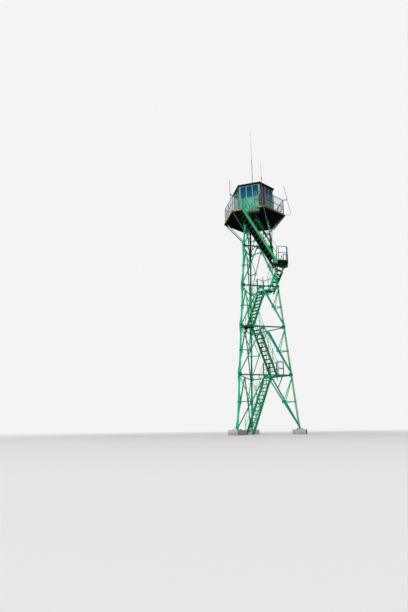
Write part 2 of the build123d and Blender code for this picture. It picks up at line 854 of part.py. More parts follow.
def landing_strut(number, a_outer, b, z_inner):
    """Sloping strut from a diagonal of the right face up to the outer edge of a landing."""
    seat = landing_levels[number] - landing_plate - landing_frame
    foot = spot(-leg_radius(z_inner) / 2, b)
    head = spot(a_outer, b)
    with BuildPart() as strut:
        add(beam((foot.X, foot.Y, z_inner), (head.X, head.Y, seat + strut_overrun), strut_bar, strut_bar))
        add(slab(0.0, seat), mode=Mode.INTERSECT)
        add(outside_right, mode=Mode.INTERSECT)
        add(right_diagonals.part, mode=Mode.SUBTRACT)
        add(gusset_plates.part, mode=Mode.SUBTRACT)
    return max(strut.part.solids(), key=lambda solid: solid.volume)


def diagonal_level(upper, lower, b):
    """Height at which the main diagonal under a level bar passes the distance b from the middle."""
    foot = half_width(lower) - end_offset
    clear = upper - lower - 2 * end_offset
    return lower + end_offset + clear * (foot - abs(b)) / (foot - apex_reach)


for b in (-520.0, 200.0):
    level = diagonal_level(ring_levels[2], ring_levels[1], b)
    brackets.append(landing_strut(2, far_edge_2 + strut_inset, b, level))
for b in (-480.0, 480.0):
    level = diagonal_level(ring_levels[0], foot_level, b)
    brackets.append(landing_strut(4, far_edge_4 + strut_inset, b, level))

# Cleats that carry the corner landing on the level bars of two faces
cleat_size = (150.0, 60.0, 45.0)
seat_3 = landing_levels[3] - landing_plate - landing_frame
for face, turn in (("front", 1.0), ("left", -1.0)):
    behind_bars = outside_of(face, gusset_thickness)
    for a in (720.0, 1180.0):
        b = (leg_radius(seat_3) - a) * tan(radians(30.0)) * turn
        point = spot(a, b)
        with BuildPart() as cleat:
            with BuildSketch(Plane(origin=(point.X, point.Y, seat_3 - cleat_size[2]),
                                   x_dir=polar(1.0, face_angles[face]), z_dir=(0, 0, 1))):
                Rectangle(cleat_size[0], cleat_size[1])
            extrude(amount=cleat_size[2])
            add(behind_bars, mode=Mode.SUBTRACT)
        brackets.append(cleat.part)

with BuildPart() as landing_brackets:
    add(brackets)

# Knee braces from the legs to the platform corners
brace_bar = 48.0
short_drop = 1000.0
long_drop = 1900.0
upper_drop = 1740.0
outside_faces = {face: outside_of(face) for face in face_angles}
leg_solids = {"right": leg_right, "left": leg_left, "rear": leg_rear}
under_platform = slab(0.0, platform_underside)
braces = []


def knee_brace(name, drop, corner, reach, face):
    low = platform_underside - drop
    foot = polar(leg_radius(low) - heel_seat, leg_angles[name], low)
    head = polar(reach, corner, platform_underside + 20.0)
    with BuildPart() as brace:
        add(beam(foot, head, brace_bar, brace_bar))
        add(under_platform, mode=Mode.INTERSECT)
        if face:
            add(outside_faces[face], mode=Mode.INTERSECT)
        else:
            add(leg_solids[name].part, mode=Mode.SUBTRACT)
    return max(brace.part.solids(), key=lambda solid: solid.volume)


outer_reach = 2120.0
inner_reach = 1960.0
for name, corner in leg_angles.items():
    braces.append(knee_brace(name, short_drop, corner, outer_reach, None))
braces.append(knee_brace("right", long_drop, -90.0, outer_reach, "front"))
braces.append(knee_brace("right", upper_drop, 30.0, inner_reach, "right"))
braces.append(knee_brace("rear", long_drop, 30.0, outer_reach, "right"))
braces.append(knee_brace("rear", upper_drop, 150.0, outer_reach, "left"))
braces.append(knee_brace("left", long_drop, 150.0, inner_reach, "left"))

with BuildPart() as knee_braces:
    add(braces)

parts = {
    "footings": footings, "base_plates": base_plates, "leg_left": leg_left, "leg_right": leg_right,
    "leg_rear": leg_rear, "horizontal_bars": horizontal_bars, "front_diagonals": front_diagonals,
    "right_diagonals": right_diagonals, "left_diagonals": left_diagonals, "gusset_plates": gusset_plates,
    "head_frame": head_frame, "knee_braces": knee_braces, "platform_beams": platform_beams,
    "platform_deck": platform_deck, "platform_edge": platform_edge, "platform_railing": platform_railing,
    "stair_head_guard": stair_head_guard, "cabin_corner_posts": cabin_corner_posts,
    "cabin_door_post": cabin_door_post, "cabin_wall_panels": cabin_wall_panels,
    "cabin_window_frames": cabin_window_frames, "cabin_glass": cabin_glass,
    "cabin_head_band": cabin_head_band, "cabin_roof": cabin_roof, "cabin_door": cabin_door,
    "door_handle": door_handle, "mast_pole": mast_pole, "mast_antenna": mast_antenna,
    "left_whip": left_whip, "right_whip": right_whip, "near_whip": near_whip,
    "near_whip_wire": near_whip_wire,
    "flight_1_sides": flight_1_sides, "flight_2_sides": flight_2_sides, "flight_3_sides": flight_3_sides,
    "flight_4_sides": flight_4_sides, "flight_5_sides": flight_5_sides, "stair_treads": stair_treads,
    "landing_1": landing_1, "landing_2": landing_2, "landing_3": landing_3, "landing_4": landing_4,
    "landing_railings": landing_railings, "landing_brackets": landing_brackets,
}
for name, block in parts.items():
    block.part.label = name
    export_step(block.part, f"parts/{name}.step")
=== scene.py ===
import bpy
import bmesh
import math
from mathutils import Matrix, Vector


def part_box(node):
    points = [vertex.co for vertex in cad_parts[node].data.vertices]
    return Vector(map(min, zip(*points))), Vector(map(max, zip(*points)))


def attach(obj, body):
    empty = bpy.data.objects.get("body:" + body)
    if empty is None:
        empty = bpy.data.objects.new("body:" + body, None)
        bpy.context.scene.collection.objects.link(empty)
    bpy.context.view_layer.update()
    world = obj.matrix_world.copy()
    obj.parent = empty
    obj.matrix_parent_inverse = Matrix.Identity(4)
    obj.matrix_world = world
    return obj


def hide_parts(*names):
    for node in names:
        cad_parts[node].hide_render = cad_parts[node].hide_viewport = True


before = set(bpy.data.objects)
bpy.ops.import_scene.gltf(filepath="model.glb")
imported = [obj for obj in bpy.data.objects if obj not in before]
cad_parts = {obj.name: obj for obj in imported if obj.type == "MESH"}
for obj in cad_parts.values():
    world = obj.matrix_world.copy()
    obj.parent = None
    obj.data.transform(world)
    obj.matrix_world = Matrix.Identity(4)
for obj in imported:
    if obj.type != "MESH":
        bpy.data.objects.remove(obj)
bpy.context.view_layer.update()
bpy.context.scene.view_settings.view_transform = "Standard"

# Camera: just above the ground, in front and to the left of the tower, tilted up at it.
# Its place, turn, tilt and lens are those at which the platform's corners, the roof and the
# left foot fall where they do in the photograph.
eye = (-9.586, -28.382, 0.4)
turn = math.radians(11.748)
tilt = math.radians(14.987)
roll = math.radians(-0.618)
focal_pixels = 457.88
picture_height = 612.0
camera_data = bpy.data.cameras.new("camera")
camera_data.sensor_width = 36.0
camera_data.lens = focal_pixels / picture_height * camera_data.sensor_width
camera_data.clip_end = 2000.0
camera = bpy.data.objects.new("camera", camera_data)
bpy.context.scene.collection.objects.link(camera)
camera.location = eye
camera.rotation_mode = "QUATERNION"
facing = (Matrix.Rotation(-turn, 3, "Z") @ Matrix.Rotation(math.pi / 2 + tilt, 3, "X")
          @ Matrix.Rotation(roll, 3, "Z"))
camera.rotation_quaternion = facing.to_quaternion()
bpy.context.scene.camera = camera


# Concrete footings: three square pedestals cast on site, with rounded edges and damp stains.
# The tower's base plates are bedded on their tops.
class Shade:
    """One socket of a material's nodes; + - * and / on it add Math nodes."""

    def __init__(self, tree, socket=None):
        self.tree = tree
        self.socket = socket

    def node(self, kind, settings=None, inputs=None, output=0):
        made = self.tree.nodes.new(kind)
        for name, value in (settings or {}).items():
            setattr(made, name, value)
        for name, value in (inputs or {}).items():
            if isinstance(value, Shade):
                self.tree.links.new(value.socket, made.inputs[name])
            else:
                made.inputs[name].default_value = value
        return Shade(self.tree, made.outputs[output])

    def math(self, operation, first, second, clamp=False):
        settings = {"operation": operation, "use_clamp": clamp}
        return self.node("ShaderNodeMath", settings, {0: first, 1: second})

    def __add__(self, other):
        return self.math("ADD", self, other)

    def __radd__(self, other):
        return self.math("ADD", other, self)

    def __sub__(self, other):
        return self.math("SUBTRACT", self, other)

    def __rsub__(self, other):
        return self.math("SUBTRACT", other, self)

    def __mul__(self, other):
        return self.math("MULTIPLY", self, other)

    def __rmul__(self, other):
        return self.math("MULTIPLY", other, self)

    def __truediv__(self, other):
        return self.math("DIVIDE", self, other)

    def __rtruediv__(self, other):
        return self.math("DIVIDE", other, self)

    def clip(self):
        return self.math("ADD", self, 0.0, clamp=True)

    def mix(self, first, second):
        """The second colour where this mask is 1, the first where it is 0."""
        first, second = (value if isinstance(value, Shade) else (*value, 1.0)
                         for value in (first, second))
        return self.node("ShaderNodeMix", {"data_type": "RGBA"}, {0: self, 6: first, 7: second}, output=2)


def begin_material(name):
    material = bpy.data.materials.new(name)
    material.use_nodes = True
    tree = material.node_tree
    return material, tree.nodes["Principled BSDF"], Shade(tree)


def on_piece(shade, stretch=(1.0, 1.0, 1.0)):
    here = shade.node("ShaderNodeTexCoord", output="Object")
    return shade.node("ShaderNodeMapping", inputs={"Vector": here, "Scale": stretch})


def cloud(where, scale, detail, roughness):
    """Random patches between 0 and 1; a larger scale makes them smaller."""
    inputs = {"Vector": where, "Scale": scale, "Detail": detail, "Roughness": roughness}
    return where.node("ShaderNodeTexNoise", None, inputs, output="Fac")


def above(value, level, sharpness):
    """A mask that is 0 up to a level and rises to 1 over it, the sharper the sooner."""
    return ((value - level) * sharpness).clip()


def part_of(vector, axis):
    return vector.node("ShaderNodeSeparateXYZ", None, {"Vector": vector}, output=axis)


def relief(shade, height, strength, distance):
    inputs = {"Height": height, "Strength": strength, "Distance": distance}
    return shade.node("ShaderNodeBump", None, inputs)


def set_on(surface, name, value):
    if isinstance(value, Shade):
        value.tree.links.new(value.socket, surface.inputs[name])
    else:
        surface.inputs[name].default_value = value


def make_object(name, shape, material):
    data = bpy.data.meshes.new(name)
    shape.to_mesh(data)
    shape.free()
    data.materials.append(material)
    made = bpy.data.objects.new(name, data)
    bpy.context.scene.collection.objects.link(made)
    return made


def finish_piece(name, shape, material, slot_name, *replaced):
    """Makes an object of a bmesh, gives it its material and lets it ride on the tower."""
    piece = make_object(name, shape, material)
    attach(piece, "root")
    if replaced:
        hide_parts(*replaced)


def around(radius, direction, height=0.0):
    """Point at a distance from the tower's axis, in a direction in degrees from +X."""
    angle = math.radians(direction)
    return Vector((radius * math.cos(angle), radius * math.sin(angle), height))


def placing(point, direction):
    """Placing at a point, turned about the vertical by a direction in degrees."""
    return Matrix.Translation(point) @ Matrix.Rotation(math.radians(direction), 4, "Z")


def add_box(shape, size, placed):
    return bmesh.ops.create_cube(shape, size=1.0, matrix=placed @ Matrix.Diagonal((*size, 1.0)))["verts"]


dry_concrete = (0.47, 0.45, 0.41)
damp_concrete = (0.20, 0.19, 0.16)
dark_grit = (0.12, 0.115, 0.10)
damp_height = 0.22
damp_level = 0.4
damp_contrast = 2.2
damp_at_foot = 0.5
concrete, concrete_surface, concrete_shade = begin_material("cast_concrete")
concrete_where = on_piece(concrete_shade)
concrete_patches = cloud(concrete_where, scale=2.2, detail=6.0, roughness=0.6)
concrete_grit = cloud(concrete_where, scale=60.0, detail=3.0, roughness=0.7)
concrete_low = (1.0 - part_of(concrete_where, "Z") / damp_height).clip()
concrete_damp = ((concrete_patches - damp_level) * damp_contrast + concrete_low * damp_at_foot).clip()
concrete_tint = concrete_damp.mix(dry_concrete, damp_concrete)
concrete_tint = above(concrete_grit, level=0.56, sharpness=3.0).mix(concrete_tint, dark_grit)
set_on(concrete_surface, "Base Color", concrete_tint)
set_on(concrete_surface, "Roughness", 0.92)
set_on(concrete_surface, "Normal",
       relief(concrete_shade, concrete_patches * 0.6 + concrete_grit * 0.4, strength=0.5, distance=0.006))

leg_directions = (-30.0, -150.0, 90.0)
plate_low, plate_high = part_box("base_plates")
leg_foot_radius = 2.37
leg_top_radius = 1.02
platform_underside = 14.55
lean = (leg_foot_radius - leg_top_radius) / platform_underside
heel_to_plate = 0.05
footing_radius = leg_foot_radius - lean * plate_high.z - heel_to_plate
footing_side = 0.8
footing_height = plate_low.z
footing_rounding = 0.018
footings = bmesh.new()
for direction in leg_directions:
    placed = placing(around(footing_radius, direction, footing_height / 2), direction)
    add_box(footings, (footing_side, footing_side, footing_height), placed)
bmesh.ops.bevel(footings, geom=footings.edges[:], offset=footing_rounding, offset_type="OFFSET",
                affect="EDGES", segments=3, profile=0.5, material=-1)
finish_piece("footing_blocks", footings, concrete, "concrete", "footings")


# Base plates: square steel plates bedded on the footings, each held by four studs with nuts
# and washers. The green paint has chipped, and rust creeps in from the studs and edges.
def darker(colour, share):
    return tuple(channel * share for channel in colour)


def painted_steel(name, paint, faded, rust, patch=1.6, streaks=0.0, roughness=0.46, underside_shade=0.6, changes=()):
    """Brushed paint on steel: faded patches, chips, rust blooms, run marks, and painted shade on the
    undersides.

    Each change is a direction, where along it the paint starts and ends to change, and to what colour.
    """
    material, surface, shade = begin_material(name)
    where = on_piece(shade)
    patches = cloud(where, patch, detail=5.0, roughness=0.6)
    fine = cloud(where, scale=34.0, detail=4.0, roughness=0.65)
    blooms = cloud(where, scale=7.0, detail=9.0, roughness=0.72)
    tint = above(patches, level=0.38, sharpness=2.6).mix(paint, faded)
    for direction, start, end, colour in changes:
        reach = where.node("ShaderNodeVectorMath", {"operation": "DOT_PRODUCT"},
                           {0: where, 1: direction}, output="Value")
        tint = ((reach - start) / (end - start)).clip().mix(tint, colour)
    chips = above(fine, level=0.60, sharpness=2.4) * chip_strength
    tint = chips.mix(tint, darker(paint, share=0.45))
    rusted = above(blooms, level=0.73 - 0.22 * rust, sharpness=11.0)
    if streaks:
        runs = cloud(on_piece(shade, run_stretch), scale=1.3, detail=5.0, roughness=0.6)
        run_marks = ((runs - run_level) * run_sharpness * streaks).clip()
        rusted = (rusted + run_marks * run_strength).clip()
    rust_tone = above(fine, level=0.35, sharpness=2.4).mix(dark_rust, bright_rust)
    tint = rusted.mix(tint, rust_tone)
    # Faces turned downwards are painted darker by the underside share: painted shade under things.
    facing = part_of(shade.node("ShaderNodeNewGeometry", output="Normal"), "Z")
    underside_shade_mask = (facing * -1.6).clip()
    tint = (underside_shade_mask * underside_shade).mix(tint, darker(paint, share=0.05))
    height = fine * 0.35 + rusted * 0.6
    set_on(surface, "Base Color", tint)
    set_on(surface, "Specular IOR Level", paint_gloss)
    set_on(surface, "Roughness", (roughness + fine * 0.14 + rusted * 0.3).clip())
    set_on(surface, "Normal", relief(shade, height, strength=0.35, distance=0.003))
    return material


def give(material, *nodes):
    for name in nodes:
        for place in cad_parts[name].material_slots:
            place.material = material


def add_round(shape, radius, height, placed, sides=12):
    """A closed prism standing on the origin of its placing."""
    bmesh.ops.create_cone(shape, cap_ends=True, segments=sides, radius1=radius, radius2=radius, depth=height,
                          matrix=placed @ Matrix.Translation((0.0, 0.0, height / 2)))


along_x = (1.0, 0.0, 0.0)
along_y = (0.0, 1.0, 0.0)
upwards = (0.0, 0.0, 1.0)
paint_gloss = 0.16
dark_rust = (0.075, 0.024, 0.008)
bright_rust = (0.30, 0.095, 0.025)
chip_strength = 0.8
run_stretch = (9.0, 9.0, 0.7)
run_level = 0.60
run_sharpness = 5.0
run_strength = 0.75
base_green = painted_steel("base_plate_green", (0.016, 0.16, 0.075), (0.035, 0.22, 0.11), rust=1.0,
                           streaks=0.5)
give(base_green, "base_plates")
stud_steel = painted_steel("stud_steel", (0.12, 0.13, 0.12), (0.2, 0.2, 0.19), rust=0.9, patch=9.0,
                           roughness=0.4)
stud_offset = 0.15
stud_radius = 0.012
stud_height = 0.065
nut_radius = 0.026
nut_height = 0.028
washer_radius = 0.034
washer_thickness = 0.004
studs = bmesh.new()
for direction in leg_directions:
    corner = placing(around(footing_radius, direction, plate_high.z), direction)
    for along in (-stud_offset, stud_offset):
        for across in (-stud_offset, stud_offset):
            place = corner @ Matrix.Translation((along, across, 0.0))
            add_round(studs, washer_radius, washer_thickness, place, 16)
            add_round(studs, nut_radius, nut_height, place, 6)
            add_round(studs, stud_radius, stud_height, place)
finish_piece("anchor_studs", studs, stud_steel, "base_steel")


# Legs: three rolled angles, one heel outwards at each corner, leaning in towards the platform.
# Painted a bright sea green, yellowed and rusty on the right. Plates with eight bolts splice
# the lengths together on both flanges.
def half_width(height):
    return (leg_foot_radius - lean * height) * math.sqrt(3.0) / 2


def face_matrix(direction):
    """Placing in which X runs along a face of the tower, Y up its slope and Z out of it."""
    outward = around(math.cos(face_lean), direction, math.sin(face_lean))
    sideways = around(1.0, direction + 90.0)
    upward = outward.cross(sideways)
    matrix = Matrix((sideways, upward, outward)).transposed().to_4x4()
    matrix.translation = around(leg_foot_radius / 2, direction)
    return matrix


left_leg_green = painted_steel("left_leg_green", (0.002, 0.55, 0.29), (0.012, 0.64, 0.39), rust=0.3,
                               streaks=0.15)
right_leg_green = painted_steel("right_leg_green", (0.05, 0.45, 0.17), (0.38, 0.56, 0.22), rust=0.75,
                                patch=3.5, streaks=0.2)
# The rear leg's length from 11.6 m up is painted near black: painted shade under the deck.
rear_leg_green = painted_steel("rear_leg_green", (0.004, 0.52, 0.20), (0.02, 0.62, 0.28), rust=0.3,
                               changes=((upwards, 11.6, 12.4, (0.003, 0.03, 0.02)),))
give(left_leg_green, "leg_left")
give(right_leg_green, "leg_right")
give(rear_leg_green, "leg_rear")
face_lean = math.atan(lean / 2)
edge_lean = math.atan(lean * math.sqrt(3.0) / 2)
face_directions = (-90.0, 30.0, 150.0)
ring_levels = (3.595, 6.715, 9.497, 12.35)
splice_size = (0.09, 0.36, 0.006)
splice_rise = 0.62
splice_inset = 0.066
splice_bolts_across = (-0.024, 0.024)
splice_bolts_along = (-0.14, -0.07, 0.07, 0.14)
bolt_radius = 0.016
bolt_height = 0.013
splices = bmesh.new()
for direction in face_directions:
    face = face_matrix(direction)
    for ring in (ring_levels[0], ring_levels[2]):
        level = ring + splice_rise
        for side in (-1.0, 1.0):
            sideways = side * (half_width(level) - splice_inset)
            spot = (face @ Matrix.Translation((sideways, level / math.cos(face_lean), 0.0))
                    @ Matrix.Rotation(side * edge_lean, 4, "Z"))
            add_box(splices, splice_size, spot @ Matrix.Translation((0.0, 0.0, splice_size[2] / 2)))
            for across in splice_bolts_across:
                for along in splice_bolts_along:
                    add_round(splices, bolt_radius, bolt_height,
                              spot @ Matrix.Translation((across, along, splice_size[2])), 6)
splice_green = painted_steel("splice_green", (0.006, 0.36, 0.19), (0.03, 0.46, 0.28), rust=0.9, patch=5.0)
finish_piece("leg_splices", splices, splice_green, "leg_paint")

# Lattice: level bars, sloping bars and short bars, all angles bolted flat on the faces.
# The level bars and the far faces are painted darker than the front, as painted shade.
front_green = painted_steel("front_bar_green", (0.005, 0.42, 0.24), (0.03, 0.50, 0.32), rust=0.35)
far_shaded_green = painted_steel("far_bar_shaded_green", (0.004, 0.19, 0.10), (0.012, 0.26, 0.15), rust=0.4)
level_shaded_green = painted_steel("level_bar_shaded_green", (0.004, 0.15, 0.085), (0.012, 0.21, 0.12), rust=0.5)
give(front_green, "front_diagonals")
give(far_shaded_green, "right_diagonals", "left_diagonals")
give(level_shaded_green, "horizontal_bars")


# Gusset plates: flat plates at every joint, with the hexagon heads of the bolts that hold the
# bars to them. The heads have lost most of their paint.
def bolt_row(shape, face, start, end, distances, lift):
    """Bolt heads on a bar, at distances along it from its start."""
    along = (end - start).normalized()
    for distance in distances:
        spot = start + along * distance
        add_round(shape, bolt_radius, bolt_height, face @ Matrix.Translation((spot.x, spot.y, lift)), 6)


gusset_green = painted_steel("gusset_green", (0.005, 0.34, 0.19), (0.03, 0.42, 0.26), rust=0.7, patch=5.0)
bolt_steel = painted_steel("bolt_steel", (0.03, 0.22, 0.14), (0.07, 0.28, 0.19), rust=1.1, patch=12.0)
give(gusset_green, "gusset_plates")
head_node_level = 14.44
node_levels = (plate_high.z, *ring_levels, head_node_level)
bar_face = 0.015
light_bar_face = 0.013
bar_end_gap = 0.03
apex_gap = 0.062
foot_bolts = (0.075, 0.125)
apex_bolts = (0.06, 0.11)
crossing_bolts = (-0.05, 0.05)
light_bar_bolts = (0.075,)
leg_end_bolts = (0.03, 0.08)
corner_bolts = (0.085,)
level_bar_bolts = (0.05, 0.11, 0.17)
bolts = bmesh.new()
for direction in face_directions:
    face = face_matrix(direction)
    for lower, upper in zip(node_levels[:-1], node_levels[1:]):
        middle = (lower + upper) / 2
        for side in (-1.0, 1.0):
            foot = Vector((side * (half_width(lower) - bar_end_gap),
                           (lower + bar_end_gap) / math.cos(face_lean)))
            head = Vector((side * apex_gap, (upper - bar_end_gap) / math.cos(face_lean)))
            joint = (foot + head) / 2
            edge = Vector((side * half_width(middle), joint.y))
            node = Vector((side * half_width(upper), upper / math.cos(face_lean)))
            if lower in ring_levels:
                bolt_row(bolts, face, foot, head, foot_bolts, bar_face)
            bolt_row(bolts, face, head, foot, apex_bolts, bar_face)
            bolt_row(bolts, face, joint, head, crossing_bolts, bar_face)
            bolt_row(bolts, face, joint, edge, light_bar_bolts, light_bar_face)
            bolt_row(bolts, face, edge, joint, leg_end_bolts, light_bar_face)
            if upper in ring_levels:
                bolt_row(bolts, face, joint, node, corner_bolts, light_bar_face)
                bolt_row(bolts, face, node, Vector((0.0, node.y)), level_bar_bolts, bar_face)
finish_piece("gusset_bolts", bolts, bolt_steel, "gusset_paint")


# Head frame, beams and joists: welded under the deck, their green painted near black as painted
# shade under the deck. Two angle joists run between the spokes in each bay but the stair's.
def add_bar(shape, start, end, width, depth, up=upwards):
    """A straight rectangular bar between two points, its depth measured towards up."""
    along = (end - start).normalized()
    side = Vector(up).cross(along).normalized()
    matrix = Matrix((side, along.cross(side), along)).transposed().to_4x4()
    matrix.translation = (start + end) / 2
    add_box(shape, (width, depth, (end - start).length), matrix)


shaded_under_green = painted_steel("shaded_under_green", (0.008, 0.022, 0.014), (0.014, 0.034, 0.022), rust=0.35,
                            roughness=0.7)
give(shaded_under_green, "head_frame", "platform_beams")
bay_directions = tuple(-120.0 + 60.0 * step for step in range(6))
stair_bay = bay_directions[0]
deck_top = 14.65
deck_thickness = 0.02
joist_depth = 0.06
joist_width = 0.045
joist_distances = (1.42, 1.66)
joist_end_gap = 0.04
joist_level = deck_top - deck_thickness - joist_depth / 2
joists = bmesh.new()
for bay in bay_directions[1:]:
    for distance in joist_distances:
        half_length = distance * math.tan(math.radians(30.0)) - joist_end_gap
        middle = around(distance, bay, joist_level)
        reach = around(half_length, bay + 90.0)
        add_bar(joists, middle - reach, middle + reach, joist_width, joist_depth)
finish_piece("deck_joists", joists, shaded_under_green, "beam_paint")

# Deck: dark steel plate in one level, welded to the head frame and worn grey on top. From just
# under its top edge it is painted black as painted shade.
deck_shade_black = (0.01, 0.012, 0.01)
deck_steel = painted_steel("deck_steel", (0.10, 0.10, 0.09), (0.16, 0.15, 0.13), rust=0.8, roughness=0.6,
                           underside_shade=1.0, changes=((upwards, deck_top - 0.004, deck_top - 0.014, deck_shade_black),))
give(deck_steel, "platform_deck")


# Edge band: a flat bar bent round the deck, its paint gone to ochre, olive and orange rust.
# Hexagon heads hold it to the deck every third of a metre.
def add_rod(shape, start, end, radius, sides=10):
    along = end - start
    matrix = along.to_track_quat("Z", "Y").to_matrix().to_4x4()
    matrix.translation = start
    add_round(shape, radius, along.length, matrix, sides)


band_foot = 14.56
# The band's lowest few millimetres are painted near black.
band_rust = painted_steel("band_rust", (0.27, 0.155, 0.045), (0.40, 0.27, 0.10), rust=0.8, patch=2.6,
                          streaks=0.35,
                          changes=((along_x, -0.85, -0.70, (0.17, 0.23, 0.08)),
                                   (along_x, -0.15, 0.35, (0.23, 0.062, 0.010)),
                                   (upwards, band_foot + 0.006, band_foot - 0.004, (0.02, 0.012, 0.006))))
give(band_rust, "platform_edge")
platform_radius = 2.2
corner_to_flat = math.cos(math.radians(30.0))
platform_inradius = platform_radius * corner_to_flat
band_bolt_drop = 0.045
band_bolt_spacing = 0.33
band_bolt_radius = 0.015
band_bolt_height = 0.012
band_bolts = bmesh.new()
for bay in bay_directions:
    for place in range(-3, 4):
        if bay == stair_bay and place < 1:
            continue
        spot = around(platform_inradius, bay, deck_top - band_bolt_drop)
        spot += around(band_bolt_spacing * place, bay + 90.0)
        add_rod(band_bolts, spot, spot + around(band_bolt_height, bay), band_bolt_radius, 6)
finish_piece("band_bolts", band_bolts, bolt_steel, "edge_paint")

# Knee braces: light square bars from the legs out to the platform corners, with rubbed paint.
# The brackets under the landings are made and painted alike.
brace_green = painted_steel("brace_green", (0.03, 0.26, 0.14), (0.26, 0.44, 0.24), rust=0.7, patch=3.0,
                            underside_shade=0.45)
give(brace_green, "knee_braces", "landing_brackets")


# Treads: folded sheet trays, open below, bolted between the sides of each flight, near black as
# painted shade. Thin sheet risers, also painted-shade black, close the steps of the top flight.
def in_plan(a, b):
    """Point from the distance towards the left leg and the distance along the right face."""
    return Vector((-math.sqrt(3.0) / 2 * a + 0.5 * b, -0.5 * a - math.sqrt(3.0) / 2 * b))


def sort_faces(shape):
    """Puts faces in order of place; solidify and spin make them in another order each run."""
    ordered = sorted(shape.faces, key=lambda face: face.calc_center_median()[:])
    for index, face in enumerate(ordered):
        face.index = index
    shape.faces.sort()


head_flight_y = -1.302
head_flight_head = -1.315
head_flight_foot = 0.925
head_flight_width = 0.736
stair_width = 0.54
lane = 0.32
# Landings: their levels, and the edges that the flights meet, measured towards the left leg
level_1, level_2, level_3, level_4 = 11.05, 9.6, 6.8, 3.7
edge_1, edge_2, edge_3, edge_4 = -1.15, -0.725, 0.6, -0.985
second_head = 1.17
second_foot = 0.25
ground_foot = 0.95
# Each flight: head and foot in plan, head and foot level, risers, width
flights = (
    (Vector((head_flight_head, head_flight_y)), Vector((head_flight_foot, head_flight_y)), deck_top, level_1,
     14, head_flight_width),
    (in_plan(edge_1, second_head), in_plan(edge_1, second_foot), level_1, level_2, 6, stair_width),
    (in_plan(edge_2, -lane), in_plan(edge_3, -lane), level_2, level_3, 11, stair_width),
    (in_plan(edge_3, lane), in_plan(edge_4, lane), level_3, level_4, 12, stair_width),
    (in_plan(edge_4, -lane), in_plan(ground_foot, -lane), level_4, 0.0, 15, stair_width),
)
stringer_thickness = 0.012
tread_overlap = 0.02
tread_height = 0.045
tread_sheet = 0.003
trays = bmesh.new()
closing_sheets = bmesh.new()
for head, foot, head_level, foot_level, risers, width in flights:
    along = (foot - head).normalized()
    turned = Matrix.Rotation(math.atan2(along.y, along.x), 4, "Z")
    going = (foot - head).length / risers
    rise = (head_level - foot_level) / risers
    depth = going + tread_overlap
    inner_width = width - 2 * stringer_thickness
    for step in range(1, risers):
        middle = head + along * (going * step - depth / 2)
        level = head_level - rise * step - tread_height / 2
        placed = Matrix.Translation((middle.x, middle.y, level)) @ turned
        add_box(trays, (depth, inner_width, tread_height), placed)
        if head_level == deck_top:
            back = head + along * (going * step - depth + tread_sheet)
            add_box(closing_sheets, (tread_sheet, inner_width, rise - tread_height),
                    Matrix.Translation((back.x, back.y, level + rise / 2)) @ turned)
undersides = [side for side in trays.faces if side.normal.z < -0.9]
bmesh.ops.delete(trays, geom=undersides, context="FACES_ONLY")
bmesh.ops.solidify(trays, geom=trays.faces[:], thickness=tread_sheet)
sort_faces(trays)
shaded_tread_green = painted_steel("shaded_tread_green", (0.002, 0.012, 0.008), (0.007, 0.03, 0.02), rust=0.6, patch=4.0,
                            underside_shade=0.9)
finish_piece("tread_trays", trays, shaded_tread_green, "tread_paint", "stair_treads")
shaded_riser_black = painted_steel("shaded_riser_black", (0.003, 0.010, 0.007), (0.008, 0.018, 0.013), rust=0.25,
                            patch=4.0)
finish_piece("head_flight_risers", closing_sheets, shaded_riser_black, "tread_paint")

# Stair sides: flat plates with a lip along both edges, handrail posts and rails outside them.
# Bright grass green on the outer side of the top flight, painted near black inside and on its
# far lips as painted shade, and dull on its handrails. The lower flights are one green.
painted_shade_black = (0.002, 0.007, 0.005)
dull_rail_green = (0.010, 0.045, 0.026)
outer_face = head_flight_y - head_flight_width / 2
head_slope = (deck_top - level_1) / (head_flight_foot - head_flight_head)
head_line = deck_top + head_flight_head * head_slope
# The top flight's inner faces and far lips turn near black: painted shade.
head_stair_green = painted_steel("head_stair_green", (0.002, 0.58, 0.20), (0.012, 0.66, 0.28), rust=0.3,
                                 patch=2.2, streaks=0.1,
                                 changes=((along_y, outer_face + 0.015, outer_face + 0.03, painted_shade_black),
                                          ((head_slope, 0.0, 1.0), head_line + 0.03, head_line + 0.06,
                                           dull_rail_green)))
head_lip_green = painted_steel("head_lip_green", (0.04, 0.36, 0.11), (0.36, 0.24, 0.06), rust=1.0, patch=4.5,
                               changes=((along_y, outer_face + 0.17, outer_face + 0.37, painted_shade_black),))
stair_green = painted_steel("stair_green", (0.004, 0.50, 0.20), (0.02, 0.58, 0.27), rust=0.35,
                            streaks=0.1)
give(head_stair_green, "flight_1_sides")
give(stair_green, "flight_2_sides", "flight_3_sides", "flight_4_sides", "flight_5_sides")
lip_width = 0.034
upper_lip = 0.026
lower_lip = 0.010
lip_seat = 0.6
lip_clearance = 0.03
stringer_depth = 0.17
lips = {"head_flight_lips": (head_lip_green, flights[:1]),
        "lower_flight_lips": (stair_green, flights[1:])}
for name, (paint, some_flights) in lips.items():
    shape = bmesh.new()
    for head, foot, head_level, foot_level, risers, width in some_flights:
        along = (foot - head).normalized()
        across = Vector((-along.y, along.x))
        run = (foot - head).length
        drop = head_level - foot_level
        deep = stringer_depth * math.hypot(run, drop) / run
        for side in (-1.0, 1.0):
            out = across * (side * (width / 2 + lip_width / 2))
            for lowered, thickness in ((upper_lip * lip_seat, upper_lip),
                                       (deep - lower_lip * lip_seat, lower_lip)):
                share = min(1.0, (head_level - lowered) / drop)
                start = head + out
                end = head + along * (run * share) + out
                top = Vector((start.x, start.y, head_level - lowered))
                low = Vector((end.x, end.y, head_level - lowered - drop * share))
                if low.z < lip_clearance:
                    low = top + (low - top) * ((top.z - lip_clearance) / (top.z - low.z))
                add_bar(shape, top, low, lip_width, thickness)
    finish_piece(name, shape, paint, "stair_paint")

